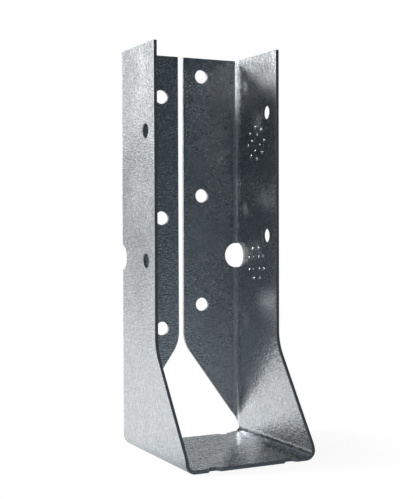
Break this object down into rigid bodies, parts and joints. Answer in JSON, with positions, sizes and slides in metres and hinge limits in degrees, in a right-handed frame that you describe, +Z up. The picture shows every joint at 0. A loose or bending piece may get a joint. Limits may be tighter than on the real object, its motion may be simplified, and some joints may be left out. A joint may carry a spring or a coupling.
{
  "type": "joist hanger",
  "caption": "Folded sheet steel hanger that cradles the end of a narrow timber joist against a beam, with flared cheeks, inward flanges and staggered nail holes.",
  "frame": {"origin": "middle of the underside: the centre of the overall box in X and Y, at the height of the seat's underside", "axes": "+Z up along the cheeks, +Y towards the carrying beam, X across the joist"},
  "size_m": [0.0416, 0.0468, 0.1212],
  "materials": {
    "galvanised_steel": "hot-dip galvanised, satin with fine spangle"
  },
  "bodies": {
    "root": {"hanger": "galvanised_steel"}
  },
  "joints": []
}
